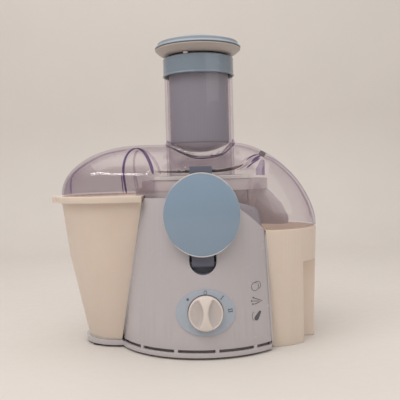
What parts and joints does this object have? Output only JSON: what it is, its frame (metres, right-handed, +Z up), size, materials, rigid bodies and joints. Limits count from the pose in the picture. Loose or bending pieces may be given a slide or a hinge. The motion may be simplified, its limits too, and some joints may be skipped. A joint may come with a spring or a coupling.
{
  "type": "centrifugal juicer",
  "caption": "Countertop centrifugal juicer with a motor base, spinning sieve basket, clear lid with feed tube and pusher, latch arm, selector knob, pulp container and juice jug.",
  "frame": {"origin": "centre of the overall footprint, at table level under the feet", "axes": "+Z up, the spin axis parallel to it; the front with the latch and the knob faces -Y; the juice jug is at +X"},
  "size_m": [0.3028, 0.2093, 0.345],
  "materials": {
    "housing_white": "glossy off-white ABS",
    "container_cream": "satin, slightly translucent cream polypropylene",
    "clear_plastic": "clear, faintly lilac, polished",
    "trim_blue": "glossy light blue ABS",
    "collar_blue": "glossy blue-grey ABS",
    "off_white": "satin off-white ABS",
    "pusher_grey": "semi-gloss grey",
    "bowl_mauve": "semi-gloss grey-mauve",
    "latch_slate": "satin dark slate",
    "rubber": "matt",
    "steel": "plain",
    "sieve_steel": "perforated stainless",
    "lamination": "stacked laminations",
    "winding": "enamelled copper",
    "bronze": "plain",
    "aluminium": "die cast",
    "carbon": "pressed graphite",
    "black_plastic": "moulded",
    "white_nylon": "moulded",
    "capacitor_yellow": "moulded"
  },
  "bodies": {
    "base": {"base_plate": "housing_white", "feet": "rubber", "base_screws": "steel", "motor_housing": "housing_white", "dial_plate": "trim_blue", "rotary_switch": "black_plastic", "juice_bowl": "bowl_mauve", "shaft_seal": "rubber", "motor_stator": "lamination", "field_coils": "winding", "upper_bracket": "aluminium", "lower_bracket": "aluminium", "upper_bearing": "steel", "lower_bearing": "bronze", "brush_holders": "bronze", "carbon_brushes": "carbon", "motor_bolts": "steel", "motor_dampers": "rubber", "damper_screws": "steel", "latch_pin": "steel", "safety_switch": "black_plastic", "terminal_block": "white_nylon", "suppression_capacitor": "capacitor_yellow", "cord_inlet": "rubber"},
    "rotor": {"motor_shaft": "steel", "armature": "lamination", "armature_windings": "winding", "commutator": "bronze", "cooling_fan": "black_plastic", "drive_coupling": "black_plastic", "basket_hub": "off_white", "grater_disc": "sieve_steel", "filter_sieve": "sieve_steel", "basket_rim": "off_white"},
    "knob": {"knob_spindle": "steel", "selector_knob": "off_white"},
    "latch": {"latch_arm": "latch_slate", "latch_cover": "trim_blue"},
    "interlock": {"interlock_plunger": "white_nylon"},
    "lid": {"lid": "clear_plastic", "feed_tube": "clear_plastic", "tube_collar": "collar_blue"},
    "pusher": {"pusher_body": "pusher_grey", "pusher_ring": "off_white", "pusher_cap": "trim_blue"},
    "pulp_container": {"pulp_container": "container_cream"},
    "juice_jug": {"juice_jug": "container_cream"}
  },
  "joints": [
    {"name": "spin", "type": "hinge", "parent": "base", "child": "rotor", "pos_m": [0.02095, 0.00404, 0.1], "axis": [0, 0, 1], "continuous": true},
    {"name": "knob_turn", "type": "hinge", "parent": "base", "child": "knob", "pos_m": [0.02244, -0.09103, 0.0475], "axis": [0.0157, -0.9969, 0.0777], "range_deg": [-80, 45]},
    {"name": "latch_swing", "type": "hinge", "parent": "base", "child": "latch", "pos_m": [0.02095, -0.08096, 0.097], "axis": [1, 0, 0], "range_deg": [0, 75]},
    {"name": "interlock_slide", "type": "slide", "parent": "base", "child": "interlock", "axis": [0, -1, 0], "range_m": [0, 0.00101]},
    {"name": "lid_lift", "type": "slide", "parent": "base", "child": "lid", "axis": [0, 0, 1], "range_m": [0, 0.12]},
    {"name": "pusher_slide", "type": "slide", "parent": "lid", "child": "pusher", "axis": [0, 0, 1], "range_m": [0, 0.11]},
    {"name": "pulp_container_slide", "type": "slide", "parent": "base", "child": "pulp_container", "axis": [-1, 0, 0], "range_m": [0, 0.12]},
    {"name": "jug_slide", "type": "slide", "parent": "base", "child": "juice_jug", "axis": [1, 0, 0], "range_m": [0, 0.12]}
  ],
  "couplings": [
    {"joint": "interlock_slide", "follows": "latch_swing", "m_per_rad": 0.000764}
  ]
}
